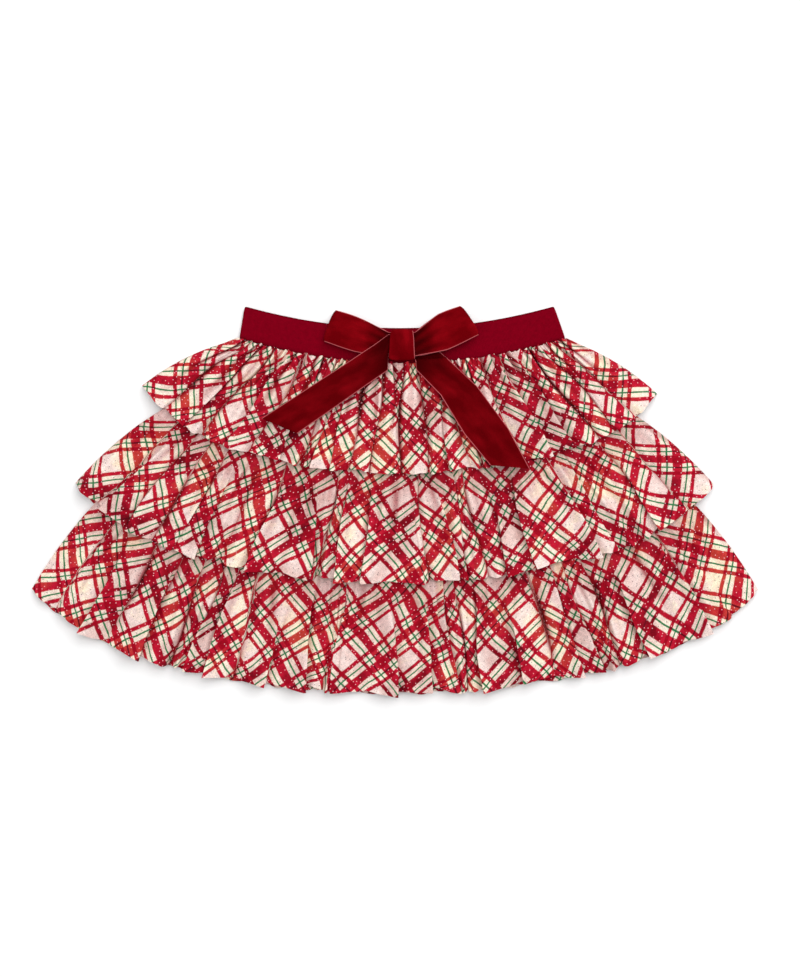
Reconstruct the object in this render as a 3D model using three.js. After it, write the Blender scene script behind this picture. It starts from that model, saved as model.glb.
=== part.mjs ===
import * as THREE from "three";

// A small girl's tiered ruffle skirt, laid flat. Sizes are in millimetres: X runs across the
// skirt, Y from the hems up to the waist, and Z up from the surface that it lies on.

const AIR = 0.3;
const CLOTH_WALL = 1.2;
const RIBBON_WALL = 1.2;
const MITRE_LIMIT = 1.6;
const CREST_MITRE = 1.2;

// The elastic waistband: a flattened loop that sags into a shallow curve.
const BAND = {
  wall: 1.5,
  hollow: 0.7,
  foldSteps: 4,
  wallSteps: 18,
  top: { mid: 3.4, half: 105.4, low: 117, high: 131.4, tilt: 0, flare: 0 },
  bottom: { mid: 5.4, half: 111, low: 92.8, high: 109.8, tilt: 0, flare: 0 },
};

// Each tier hangs between a seam and a hem. mid is the X of the line's middle, half its half
// width, low its Y in the middle, high its Y at the side folds, tilt how far the right end
// drops, and flare the share of the rise that comes only near the side folds.
const TIERS = {
  tier_1: {
    seam: { mid: 5, half: 111.6, low: 92.3, high: 109.2, tilt: 0, flare: 0 },
    hem: { mid: 3.6, half: 174.8, low: 18, high: 75, tilt: 2.9, flare: 0.34 },
    bulge: 4,
    closes: 0.955,
    colour: 0xb5303c,
  },
  tier_2: {
    seam: { mid: 0, half: 148, low: 36, high: 67, tilt: 0, flare: 0.1 },
    hem: { mid: 0, half: 216.5, low: -56, high: 11.3, tilt: 0.4, flare: 0.34 },
    bulge: 4,
    closes: 0.958,
    colour: 0xbb3a44,
  },
  tier_3: {
    seam: { mid: 0, half: 189, low: -38, high: 12, tilt: 0, flare: 0.1 },
    hem: { mid: 0.4, half: 246.4, low: -131, high: -60.4, tilt: 0.3, flare: 0.34 },
    bulge: 3.5,
    closes: 0.92,
    colour: 0xb5303c,
  },
};

// Ruffles of each panel. swing and beat make the folds uneven in width and height. leans has
// a mark for each fold of a front, by the side that it tips to. scallop is how far a crest
// drops below the hem line, and notch how far the hem draws up here and there.
// In a row, down is the way from seam to hem, floor the height of the cloth's middle in a
// valley, rise that of a crest above it, tip how far a crest leans over, gathers the rise of
// the fine gathers at twice the folds' number, and side the height at the side fold.
const FRONT_RUFFLES = {
  tier_1: {
    leans: ">>><<>><<<>>><<><<>>><<<", swing: 0.035, beat: 3.3, scallop: 3, notch: 2.5,
    rows: [
      { down: 0, floor: 3.1, rise: 0.5, tip: 0, gathers: 1.5, side: 2.9 },
      { down: 0.12, floor: 3.8, rise: 1.6, tip: 1.5, gathers: 1.2, side: 2.9 },
      { down: 0.36, floor: 5.4, rise: 4.2, tip: 5, gathers: 0.6, side: 2.9 },
      { down: 0.7, floor: 7.75, rise: 5.6, tip: 7, gathers: 0, side: 2.9 },
      { down: 0.86, floor: 7.75, rise: 6.6, tip: 8, gathers: 0, side: 2.9 },
      { down: 1, floor: 7.75, rise: 7.4, tip: 9, gathers: 0, side: 2.9 },
    ],
  },
  tier_2: {
    leans: "<<<>>><<>><<<>>>><<<>>><<>", swing: 0.03, beat: 4.1, scallop: 3.5, notch: 3,
    rows: [
      { down: 0, floor: 5.75, rise: 0, tip: 0, gathers: 0.25, side: 5.75 },
      { down: 0.28, floor: 5.75, rise: 0.2, tip: 0.5, gathers: 0.2, side: 5.75 },
      { down: 0.52, floor: 6.6, rise: 4.6, tip: 4.8, gathers: 0.3, side: 4.2 },
      { down: 0.78, floor: 7.75, rise: 6.2, tip: 8, gathers: 0, side: 3.1 },
      { down: 1, floor: 7.75, rise: 7.6, tip: 9.5, gathers: 0, side: 2.9 },
    ],
  },
  tier_3: {
    leans: "<<<>><<<>>><<>>>><<<>>><<>>>", swing: 0.032, beat: 5.3, scallop: 4, notch: 3,
    rows: [
      { down: 0, floor: 5.75, rise: 0, tip: 0, gathers: 0.25, side: 5.75 },
      { down: 0.28, floor: 5.75, rise: 0.2, tip: 0.5, gathers: 0.2, side: 5.75 },
      { down: 0.5, floor: 5.6, rise: 4.6, tip: 4.8, gathers: 0.3, side: 4.2 },
      { down: 0.76, floor: 5, rise: 7, tip: 8.5, gathers: 0, side: 3.1 },
      { down: 1, floor: 4.6, rise: 8.8, tip: 10, gathers: 0, side: 2.9 },
    ],
  },
};
const BACK_RUFFLES = {
  tier_1: {
    folds: 16, swing: 0.03, beat: 2.7, scallop: 2, notch: 0,
    rows: [
      { down: 0, floor: 0.6, rise: 0.8, tip: 0, gathers: 0, side: 1.35 },
      { down: 0.2, floor: 0.6, rise: 1.4, tip: 0, gathers: 0, side: 1.35 },
      { down: 0.6, floor: 0.6, rise: 1.8, tip: 0, gathers: 0, side: 1.35 },
      { down: 1, floor: 0.6, rise: 1.8, tip: 0, gathers: 0, side: 1.35 },
    ],
  },
  tier_2: {
    folds: 18, swing: 0.03, beat: 3.7, scallop: 2, notch: 0,
    rows: [
      { down: 0, floor: 3.9, rise: 0.2, tip: 0, gathers: 0, side: 4.2 },
      { down: 0.28, floor: 3.9, rise: 0.2, tip: 0, gathers: 0, side: 4.2 },
      { down: 0.5, floor: 0.6, rise: 1.8, tip: 0, gathers: 0, side: 2.4 },
      { down: 1, floor: 0.6, rise: 1.8, tip: 0, gathers: 0, side: 1.35 },
    ],
  },
  tier_3: {
    folds: 20, swing: 0.03, beat: 4.3, scallop: 2, notch: 0,
    rows: [
      { down: 0, floor: 3.9, rise: 0.2, tip: 0, gathers: 0, side: 4.2 },
      { down: 0.28, floor: 3.9, rise: 0.2, tip: 0, gathers: 0, side: 4.2 },
      { down: 0.5, floor: 0.6, rise: 2.2, tip: 0, gathers: 0, side: 2.4 },
      { down: 1, floor: 0.6, rise: 2.6, tip: 0, gathers: 0, side: 1.35 },
    ],
  },
};
const LEANING_CREST = 0.66;
const FACING = { crest: 0.6, tip: 0.1 };
const BACK_COLUMNS = [0, 0.25, 0.5, 0.75];
const LOWEST_FOLD = 0.45;
const SIDE_CALM = { from: 0.8, least: 0.35 };

// The velvet bow. Corners are in plan; z is the middle of the ribbon's wall.
const BOW_LOOPS = {
  bow_loop_left: {
    neckZ: 8.25, lowZ: 4.7, highZ: 8.8,
    rows: [
      { along: 0, upper: [4.9, 113.6], lower: [4.9, 97.8] },
      { along: 0.19, upper: [-3.8, 113.8], lower: [-3.8, 97.6] },
      { along: 0.6, upper: [-24.5, 122.5], lower: [-27, 102.2] },
      { along: 1, upper: [-40.5, 129], lower: [-48.6, 108.2] },
    ],
  },
  bow_loop_right: {
    neckZ: 8.25, lowZ: 8, highZ: 12.2,
    rows: [
      { along: 0, upper: [5.3, 113.6], lower: [5.3, 97.8] },
      { along: 0.19, upper: [13.9, 113.8], lower: [13.9, 97.6] },
      { along: 0.6, upper: [29.5, 124.5], lower: [36, 103.2] },
      { along: 1, upper: [45.4, 131.6], lower: [58, 112.6] },
    ],
  },
};
const LOOP_STEPS = 14;
const LOOP_NECK = { ends: 0.2, parted: 0.55 };
const KNOT = {
  left: -2.9,
  right: 13.1,
  bottom: 95.2,
  top: 116,
  low: 4,
  high: 12.8,
  steps: 20,
  squareness: 4,
};
// along is the share of the way from the knot to the cut end; edge points are in plan.
const BOW_TAILS = {
  bow_tail_left: {
    neckZ: 10.3,
    rows: [
      { along: 0, upper: [4.9, 112.4], lower: [4.9, 99] },
      { along: 0.1, upper: [-4, 112.2], lower: [-4, 99] },
      { along: 0.2, upper: [-13, 105.6], lower: [-4.5, 88] },
      { along: 1, upper: [-89.4, 55.4], lower: [-65.3, 45.2] },
    ],
  },
  bow_tail_right: {
    neckZ: 6.15,
    rows: [
      { along: 0, upper: [5.3, 112], lower: [5.3, 99.4] },
      { along: 0.1, upper: [14.2, 110], lower: [14.2, 99.6] },
      { along: 0.2, upper: [31.5, 100], lower: [14.8, 88.3] },
      { along: 0.45, upper: [55.8, 77.2], lower: [31.3, 71.1] },
      { along: 0.75, upper: [76.8, 48.6], lower: [46.9, 45.2] },
      { along: 1, upper: [91.1, 21.4], lower: [64.6, 23.8] },
    ],
  },
};
const TAIL_STEPS = 20;
const TAIL_COLUMNS = 4;

const BAND_COLOUR = 0x83001f;
const VELVET_COLOUR = 0x7d0008;

function mix(from, to, share) {
  return from + (to - from) * share;
}

function smoothStep(from, to, value) {
  const share = Math.min(1, Math.max(0, (value - from) / (to - from)));
  return share * share * (3 - 2 * share);
}

// Finds the two rows round a value of one column, and how far the value lies between them.
function between(rows, column, value) {
  let index = 0;
  while (index < rows.length - 2 && rows[index + 1][column] < value) {
    index += 1;
  }
  const from = rows[index];
  const to = rows[index + 1];
  return { from, to, share: (value - from[column]) / (to[column] - from[column]) };
}

// A point of a seam, hem or band edge: across runs from -1 at the left end to 1 at the right.
function onLine(line, across) {
  const rise = (1 - line.flare) * across ** 2 + line.flare * across ** 8;
  const x = line.mid + line.half * across;
  const y = line.low + (line.high - line.low) * rise - line.tilt * across ** 3;
  return new THREE.Vector3(x, y, 0);
}

// A point of a tier's plan. The side folds bulge out from the straight line.
function onTier(tier, across, down) {
  const point = onLine(tier.seam, across).lerp(onLine(tier.hem, across), down);
  const side = Math.sign(across);
  const corner = onLine(tier.hem, side).sub(onLine(tier.seam, side));
  const out = new THREE.Vector3(-corner.y * side, corner.x * side, 0).normalize();
  const reach = tier.bulge * 4 * down * (1 - down) * across ** 8;
  return point.addScaledVector(out, side === 0 ? 0 : reach);
}

// The direction of a tier's level line, along which its folds lean.
function alongTier(tier, across, down) {
  const step = 0.01;
  return onTier(tier, across + step, down).sub(onTier(tier, across - step, down)).normalize();
}

function closing(tier, across) {
  const share = Math.max(0, (Math.abs(across) - tier.closes) / (1 - tier.closes));
  return Math.sqrt(Math.max(0, 1 - share * share));
}

// How high a fold's cloth lies, from 0 in its valleys to 1 on its crest. A fold of a front
// rises slowly to a crest near the side that it leans to, and falls fast beyond it.
function foldLift({ way, crest }) {
  if (crest === undefined) {
    return Math.max(0, -Math.cos(2 * Math.PI * way));
  }
  const share = way < crest ? way / crest : (1 - way) / (1 - crest);
  return mix(share, 0.5 - 0.5 * Math.cos(Math.PI * share), 0.5);
}

// One point of the middle of a panel's cloth. turn counts the folds from the left side fold.
function onPanel(tier, ruffles, folds, row, column) {
  const { turn, way, tipping } = column;
  const even = (2 * turn) / folds - 1;
  const beat = Math.PI * ruffles.beat;
  const across = even + ruffles.swing * Math.sin(beat * even) * (1 - even ** 2);
  const roomy = Math.max(0.5, 1 + ruffles.swing * beat * Math.cos(beat * even));
  const uneven = 0.5 + 0.5 * Math.sin(2.1 * ruffles.beat * turn + 1.7 * Math.sin(0.9 * turn));
  const height = Math.min(1, mix(LOWEST_FOLD, 1, uneven) * Math.sqrt(roomy));
  const calm = mix(1, SIDE_CALM.least, smoothStep(SIDE_CALM.from, 1, Math.abs(across)));
  const open = closing(tier, across);
  const lift = foldLift(column);
  const size = height * calm * open;
  const gathered = row.gathers * (0.5 - 0.5 * Math.cos(4 * Math.PI * way)) * open;
  const drawnUp = ruffles.notch * Math.max(0, Math.sin(1.37 * turn)) ** 4;
  const point = onTier(tier, across, row.down);
  point.addScaledVector(alongTier(tier, across, row.down), tipping * row.tip * lift * size);
  point.y += (drawnUp - ruffles.scallop * (lift - 0.5) * height) * row.down ** 4 * open;
  point.z = mix(row.side, row.floor, open) + row.rise * lift * size + gathered;
  return point;
}

function normalAcross(from, to, rowStep) {
  const step = new THREE.Vector3().subVectors(to, from);
  return step.cross(rowStep).normalize();
}

// The way out of a grid of points at one of them, long enough to keep the wall's thickness
// where the cloth turns sharply.
function wayOut(grid, row, column) {
  const above = grid[Math.max(0, row - 1)][column];
  const below = grid[Math.min(grid.length - 1, row + 1)][column];
  const rowStep = new THREE.Vector3().subVectors(above, below);
  const here = grid[row][column];
  const before = grid[row][Math.max(0, column - 1)];
  const after = grid[row][Math.min(grid[row].length - 1, column + 1)];
  const ahead = after === here ? normalAcross(before, here, rowStep) : normalAcross(here, after, rowStep);
  const behind = before === here ? ahead : normalAcross(before, here, rowStep);
  const out = new THREE.Vector3().addVectors(ahead, behind).normalize();
  return out.multiplyScalar(Math.min(MITRE_LIMIT, 1 / out.dot(ahead)));
}

function signedVolume(points, triangles) {
  let volume = 0;
  for (const [a, b, c] of triangles) {
    volume += points[a].dot(new THREE.Vector3().crossVectors(points[b], points[c])) / 6;
  }
  return volume;
}

// A closed geometry from points and four-sided faces, with its faces turned outwards.
function closedSolid(points, faces) {
  const triangles = faces.flatMap(([a, b, c, d]) => [[a, b, c], [a, c, d]]);
  const isInsideOut = signedVolume(points, triangles) < 0;
  const ordered = isInsideOut ? triangles.map(([a, b, c]) => [a, c, b]) : triangles;
  const geometry = new THREE.BufferGeometry().setFromPoints(points);
  geometry.setIndex(ordered.flat());
  geometry.computeVertexNormals();
  return geometry;
}

// A wall round a grid of middle points: two faces, joined along the four edges.
function wallRound(grid, wall, lowest) {
  const rows = grid.length;
  const columns = grid[0].length;
  const outer = [];
  const inner = [];
  for (let row = 0; row < rows; row += 1) {
    for (let column = 0; column < columns; column += 1) {
      const out = wayOut(grid, row, column).multiplyScalar(wall / 2);
      const under = grid[row][column].clone().sub(out);
      under.z = Math.max(lowest, under.z);
      outer.push(grid[row][column].clone().add(out));
      inner.push(under);
    }
  }
  const at = (row, column) => row * columns + column;
  const far = rows * columns;
  const faces = [];
  for (let row = 0; row < rows - 1; row += 1) {
    for (let column = 0; column < columns - 1; column += 1) {
      const ring = [at(row, column), at(row, column + 1), at(row + 1, column + 1), at(row + 1, column)];
      faces.push(ring);
      faces.push([ring[0] + far, ring[3] + far, ring[2] + far, ring[1] + far]);
    }
  }
  const rim = [];
  for (let column = 0; column < columns - 1; column += 1) {
    rim.push(at(0, column));
  }
  for (let row = 0; row < rows - 1; row += 1) {
    rim.push(at(row, columns - 1));
  }
  for (let column = columns - 1; column > 0; column -= 1) {
    rim.push(at(rows - 1, column));
  }
  for (let row = rows - 1; row > 0; row -= 1) {
    rim.push(at(row, 0));
  }
  rim.forEach((here, index) => {
    const next = rim[(index + 1) % rim.length];
    faces.push([next, here, here + far, next + far]);
  });
  return closedSolid([...outer, ...inner], faces);
}

// A ribbon that closes on itself: each station holds its four corners in turn.
function closedRibbon(stations) {
  const points = stations.flat();
  const faces = [];
  stations.forEach((station, index) => {
    const here = index * 4;
    const next = ((index + 1) % stations.length) * 4;
    for (let side = 0; side < 4; side += 1) {
      const after = (side + 1) % 4;
      faces.push([here + side, here + after, next + after, next + side]);
    }
  });
  return closedSolid(points, faces);
}

// The columns of one fold of a front, from its left: lean is 1 to the right and -1 to the left.
// Of two folds that lean towards each other, each keeps its crest nearer its middle.
function frontFold(fold, lean, isFacing) {
  const far = isFacing ? FACING.crest : LEANING_CREST;
  const tipping = lean * (isFacing ? FACING.tip : 1);
  const ways = [0, far / 3, (far * 2) / 3, far, (far + 1) / 2];
  const inOrder = lean < 0 ? [0, ...ways.slice(1).reverse().map((way) => 1 - way)] : ways;
  const crest = lean < 0 ? 1 - far : far;
  return inOrder.map((way) => ({ turn: fold + way, way, crest, tipping }));
}

// The columns of a panel's grid: a few in each fold, closer together on its steep side.
function panelColumns(ruffles) {
  const columns = [];
  if (ruffles.leans) {
    const leans = [...ruffles.leans].map((mark) => (mark === ">" ? 1 : -1));
    leans.forEach((lean, fold) => {
      columns.push(...frontFold(fold, lean, leans[fold + lean] === -lean));
    });
  } else {
    for (let fold = 0; fold < ruffles.folds; fold += 1) {
      columns.push(...BACK_COLUMNS.map((way) => ({ turn: fold + way, way, tipping: 0 })));
    }
  }
  const folds = ruffles.leans ? ruffles.leans.length : ruffles.folds;
  columns.push({ ...columns[columns.length - 1], turn: folds, way: 1 });
  return { columns, folds };
}

function panel(name, side) {
  const ruffles = side === "front" ? FRONT_RUFFLES[name] : BACK_RUFFLES[name];
  const { columns, folds } = panelColumns(ruffles);
  const grid = ruffles.rows.map((row) => (
    columns.map((column) => onPanel(TIERS[name], ruffles, folds, row, column))
  ));
  return named(`${name}_${side}`, wallRound(grid, CLOTH_WALL, 0), TIERS[name].colour, 0.85);
}

// The band's loop: along the back to the right, round the fold, and back along the front.
function waistband() {
  const backZ = BAND.wall / 2;
  const frontZ = backZ + BAND.wall + BAND.hollow;
  const radius = (frontZ - backZ) / 2;
  const centres = [];
  for (let step = 0; step <= BAND.wallSteps; step += 1) {
    centres.push({ across: mix(-1, 1, step / BAND.wallSteps), angle: -Math.PI / 2 });
  }
  for (let step = 1; step < BAND.foldSteps; step += 1) {
    centres.push({ across: 1, angle: mix(-Math.PI / 2, Math.PI / 2, step / BAND.foldSteps) });
  }
  for (let step = 0; step <= BAND.wallSteps; step += 1) {
    centres.push({ across: mix(1, -1, step / BAND.wallSteps), angle: Math.PI / 2 });
  }
  for (let step = 1; step < BAND.foldSteps; step += 1) {
    centres.push({ across: -1, angle: mix(Math.PI / 2, 1.5 * Math.PI, step / BAND.foldSteps) });
  }
  const cornerAt = (line, { across, angle }, out) => {
    const inset = radius + BAND.wall / 2;
    const point = onLine({ ...line, half: line.half - inset }, across);
    point.x += out * Math.cos(angle);
    point.z = backZ + radius + out * Math.sin(angle);
    return point;
  };
  const outside = radius + BAND.wall / 2;
  const inside = radius - BAND.wall / 2;
  const stations = centres.map((centre) => [
    cornerAt(BAND.top, centre, outside),
    cornerAt(BAND.bottom, centre, outside),
    cornerAt(BAND.bottom, centre, inside),
    cornerAt(BAND.top, centre, inside),
  ]);
  return named("waistband", closedRibbon(stations), BAND_COLOUR, 0.7);
}

// A loop of the bow: out from the neck along the low layer, and back along the high one. The
// layers lie face to face in the neck, part beyond it and turn back at the far end.
function bowLoop(name) {
  const loop = BOW_LOOPS[name];
  const half = RIBBON_WALL / 2;
  const profile = (share, isHigh) => {
    const parted = smoothStep(LOOP_NECK.ends, LOOP_NECK.parted, share);
    const turned = Math.sqrt(Math.max(0, 1 - Math.max(0, (share - 0.9) / 0.1) ** 2));
    const middle = mix(loop.neckZ, (loop.lowZ + loop.highZ) / 2, parted);
    const reach = mix(half + 0.05, (loop.highZ - loop.lowZ) / 2, parted) * turned;
    return { share, z: isHigh ? middle + reach : middle - reach };
  };
  const shares = [];
  for (let step = 0; step <= LOOP_STEPS; step += 1) {
    shares.push(Math.sin((step / LOOP_STEPS) * Math.PI / 2));
  }
  const low = shares.map((share) => profile(share, false));
  const high = shares.slice(0, -1).reverse().map((share) => profile(share, true));
  const middle = [...low, ...high];
  const corner = (edge, place) => {
    const { from, to, share } = between(loop.rows, "along", place.share);
    const x = mix(from[edge][0], to[edge][0], share);
    return new THREE.Vector3(x, mix(from[edge][1], to[edge][1], share), place.z);
  };
  const span = corner("upper", { share: 1, z: 0 }).distanceTo(corner("upper", { share: 0, z: 0 }));
  const stations = middle.map((here, index) => {
    const before = middle[Math.max(0, index - 1)];
    const after = middle[Math.min(middle.length - 1, index + 1)];
    const run = (after.share - before.share) * span;
    const climb = after.z - before.z;
    const length = Math.hypot(run, climb);
    const push = { share: (climb / length) * half / span, z: (-run / length) * half };
    const outer = { share: Math.max(0, here.share + push.share), z: here.z + push.z };
    const inner = { share: Math.max(0, here.share - push.share), z: here.z - push.z };
    return [corner("upper", outer), corner("lower", outer), corner("lower", inner), corner("upper", inner)];
  });
  return named(name, closedRibbon(stations), VELVET_COLOUR, 0.55);
}

// The knot: a short length of ribbon wrapped round the necks of the loops and tails.
function bowKnot() {
  const middleY = (KNOT.bottom + KNOT.top) / 2;
  const middleZ = (KNOT.low + KNOT.high) / 2;
  const stations = [];
  for (let step = 0; step < KNOT.steps; step += 1) {
    const angle = (2 * Math.PI * (step + 0.5)) / KNOT.steps;
    const power = 2 / KNOT.squareness;
    const round = (value) => Math.sign(value) * Math.abs(value) ** power;
    const y = round(Math.cos(angle));
    const z = round(Math.sin(angle));
    const at = (x, inset) => new THREE.Vector3(
      x,
      middleY + y * ((KNOT.top - KNOT.bottom) / 2 - inset),
      middleZ + z * ((KNOT.high - KNOT.low) / 2 - inset),
    );
    stations.push([
      at(KNOT.left, 0),
      at(KNOT.right, 0),
      at(KNOT.right, RIBBON_WALL),
      at(KNOT.left, RIBBON_WALL),
    ]);
  }
  return named("bow_knot", closedRibbon(stations), VELVET_COLOUR, 0.55);
}

// The height of what a bow's tail lies on at a place in plan: the band, or the crests of the
// first tier's folds.
function heightUnderTail(x, y) {
  const tier = TIERS.tier_1;
  const atSeam = onTier(tier, (x - tier.seam.mid) / tier.seam.half, 0);
  if (y > atSeam.y) {
    return 2 * BAND.wall + BAND.hollow;
  }
  let nearer = 0;
  let further = 1;
  for (let step = 0; step < 24; step += 1) {
    const down = (nearer + further) / 2;
    const across = (x - mix(tier.seam.mid, tier.hem.mid, down)) / mix(tier.seam.half, tier.hem.half, down);
    if (onTier(tier, across, down).y > y) {
      nearer = down;
    } else {
      further = down;
    }
  }
  const { from, to, share } = between(FRONT_RUFFLES.tier_1.rows, "down", nearer);
  const crest = (row) => row.floor + row.rise + row.gathers;
  return mix(crest(from), crest(to), share) + (CLOTH_WALL / 2) * CREST_MITRE;
}

// A tail of the bow, laid over the crests of the first tier's folds.
function bowTail(name) {
  const tail = BOW_TAILS[name];
  const grid = [];
  for (let column = 0; column <= TAIL_COLUMNS; column += 1) {
    const points = [];
    for (let step = 0; step <= TAIL_STEPS; step += 1) {
      const { from, to, share } = between(tail.rows, "along", step / TAIL_STEPS);
      const width = column / TAIL_COLUMNS;
      const x = mix(mix(from.upper[0], to.upper[0], share), mix(from.lower[0], to.lower[0], share), width);
      const y = mix(mix(from.upper[1], to.upper[1], share), mix(from.lower[1], to.lower[1], share), width);
      const rest = heightUnderTail(x, y) + AIR + RIBBON_WALL / 2;
      points.push(new THREE.Vector3(x, y, Math.max(tail.neckZ, rest)));
    }
    grid.push(points);
  }
  return named(name, wallRound(grid, RIBBON_WALL, 0), VELVET_COLOUR, 0.55);
}

function named(name, geometry, colour, roughness) {
  const material = new THREE.MeshStandardMaterial({ color: colour, roughness, metalness: 0 });
  const mesh = new THREE.Mesh(geometry, material);
  mesh.name = name;
  return mesh;
}

const skirt = new THREE.Group();
skirt.add(waistband());
for (const name of Object.keys(TIERS)) {
  skirt.add(panel(name, "back"));
  skirt.add(panel(name, "front"));
}
for (const name of Object.keys(BOW_LOOPS)) {
  skirt.add(bowLoop(name));
}
skirt.add(bowKnot());
for (const name of Object.keys(BOW_TAILS)) {
  skirt.add(bowTail(name));
}

// The origin is the middle of the skirt's box, on the surface that it lies on.
const box = new THREE.Box3().setFromObject(skirt);
const centre = box.getCenter(new THREE.Vector3());
skirt.position.set(-centre.x, -centre.y, -box.min.z);

export default skirt;
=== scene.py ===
import math

import bpy
import numpy as np
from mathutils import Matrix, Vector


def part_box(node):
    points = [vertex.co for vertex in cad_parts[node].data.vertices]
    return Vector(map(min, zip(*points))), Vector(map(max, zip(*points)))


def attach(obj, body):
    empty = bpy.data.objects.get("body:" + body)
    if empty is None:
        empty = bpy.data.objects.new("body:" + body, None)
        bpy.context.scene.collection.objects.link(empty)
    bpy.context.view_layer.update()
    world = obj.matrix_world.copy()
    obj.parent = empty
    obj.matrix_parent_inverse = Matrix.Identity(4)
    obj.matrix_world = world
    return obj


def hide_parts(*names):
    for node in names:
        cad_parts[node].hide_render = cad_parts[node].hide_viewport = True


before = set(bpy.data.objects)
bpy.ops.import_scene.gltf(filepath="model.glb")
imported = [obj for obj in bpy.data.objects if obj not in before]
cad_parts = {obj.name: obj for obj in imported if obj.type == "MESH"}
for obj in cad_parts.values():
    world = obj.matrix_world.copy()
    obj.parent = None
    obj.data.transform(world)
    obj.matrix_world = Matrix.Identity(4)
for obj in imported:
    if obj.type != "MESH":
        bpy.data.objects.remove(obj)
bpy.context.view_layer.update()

# The skirt lies flat and is seen from straight above, in a frame 544 mm wide and 664 mm high
# that is centred a little above its middle. A soft lamp stands at the upper right, weaker ones
# on the left and overhead, and an even white light comes from all around.
FRAME_HEIGHT = 0.6644
FRAME_CENTRE = (0.0034, 0.0088)
LENS = 85.0
SENSOR = 36.0
LAMPS = (
    {"name": "key", "at": (0.75, 1.0, 1.35), "size": 1.8, "watts": 26.5},
    {"name": "fill", "at": (-1.2, -0.3, 1.4), "size": 1.5, "watts": 7.0},
    {"name": "overhead", "at": (0.0, 0.3, 2.2), "size": 1.0, "watts": 15.0},
)
AMBIENT = 0.42


def look_at(obj, target):
    """Turns an object so that its -Z axis points at the target: tilted from straight down by the
    angle whose tangent is the level distance over the drop, then turned about Z towards it."""
    way = np.subtract(target, obj.location)
    level = math.hypot(way[0], way[1])
    turn = math.atan2(-way[0], way[1]) if level > 1e-6 else 0.0
    obj.rotation_euler = (math.atan2(level, -way[2]), 0.0, turn)


camera = bpy.data.objects.new("camera", bpy.data.cameras.new("camera"))
camera.data.lens = LENS
camera.data.sensor_width = SENSOR
camera.location = (FRAME_CENTRE[0], FRAME_CENTRE[1], FRAME_HEIGHT * LENS / SENSOR)
bpy.context.scene.collection.objects.link(camera)
bpy.context.scene.camera = camera
bpy.context.scene.view_settings.view_transform = "Standard"

for row in LAMPS:
    lamp = bpy.data.objects.new(row["name"], bpy.data.lights.new(row["name"], "AREA"))
    lamp.data.size = row["size"]
    lamp.data.energy = row["watts"]
    lamp.location = row["at"]
    look_at(lamp, (0.0, 0.0, 0.0))
    bpy.context.scene.collection.objects.link(lamp)

world = bpy.data.worlds.new("studio")
world.use_nodes = True
world.node_tree.nodes["Background"].inputs["Color"].default_value = (1.0, 1.0, 1.0, 1.0)
world.node_tree.nodes["Background"].inputs["Strength"].default_value = AMBIENT
bpy.context.scene.world = world


# The waistband is a loop of 25 mm covered elastic, dark crimson and finely ribbed, folded
# flat at both ends. It sags into a shallow curve, and its edges are slightly rolled.
MM = 0.001
# Sizes are in millimetres. low_z and high_z are the middles of the back and the front wall, edge
# is how far from the middle line the painted shade of the rolled edge begins and ends, and steps,
# fold_steps and rows are the points along a wall, round a fold and across the band.
BAND = {
    "wall": 1.4, "width": 24.5, "low_z": 0.75, "high_z": 2.95, "ripple": 0.25,
    "rib_every": 0.9, "edge": (10.6, 12.2), "steps": 260, "fold_steps": 12, "rows": 15,
    "top": {"mid": 3.4, "half": 105.2, "low": 117.0, "high": 131.4, "tilt": 0.0, "flare": 0.0},
    "bottom": {"mid": 5.4, "half": 110.8, "low": 92.8, "high": 109.8, "tilt": 0.0, "flare": 0.0},
    "colour": (116, 0, 20), "sheen": (230, 90, 120),
}
# An edge bent by more degrees than this stays sharp in the light.
SHARP_FROM = 70.0
# HOME is where the drawing's zero lies in the shared frame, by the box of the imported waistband.
band_low, band_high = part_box("waistband")
HOME = np.array([
    (band_low[0] + band_high[0]) / 2 / MM - BAND["bottom"]["mid"],
    band_low[1] / MM - BAND["bottom"]["low"],
    0.0,
])


def linear(rgb):
    """A colour written as 0 to 255 in each channel, as linear light: a small share of 255 is divided
    by 12.92, and any other has 0.055 added, is divided by 1.055 and raised to the power of 2.4."""
    parts = [c / 255.0 for c in rgb]
    bright = [p / 12.92 if p <= 0.04045 else ((p + 0.055) / 1.055) ** 2.4 for p in parts]
    return (*bright, 1.0)


def mix(start, end, share):
    """The value that lies a share of the way from start to end."""
    return start + (end - start) * share


def ease(start, end, value):
    """Rises from 0 at start to 1 at end along 3t² - 2t³, with t the share of the way."""
    t = np.clip((value - start) / (end - start), 0.0, 1.0)
    return t * t * (3.0 - 2.0 * t)


def on_line(line, across):
    """x grows evenly with across, from -1 to 1. y rises from low in the middle to high at the ends
    with across squared, and for a share flare of it with the eighth power. The right end drops and
    the left end rises by tilt times across cubed."""
    rise = (1.0 - line["flare"]) * across**2 + line["flare"] * across**8
    x = line["mid"] + line["half"] * across
    y = line["low"] + (line["high"] - line["low"]) * rise - line["tilt"] * across**3
    return x, y


def ways_out(middle, closed):
    """The unit normal at each grid point: the cross product of the differences between its
    neighbours along the two ways of the grid."""
    if closed:
        along = np.roll(middle, -1, axis=1) - np.roll(middle, 1, axis=1)
    else:
        along = np.gradient(middle, axis=1)
    normal = np.cross(along, -np.gradient(middle, axis=0))
    return normal / np.maximum(np.linalg.norm(normal, axis=2, keepdims=True), 1e-9)


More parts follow.
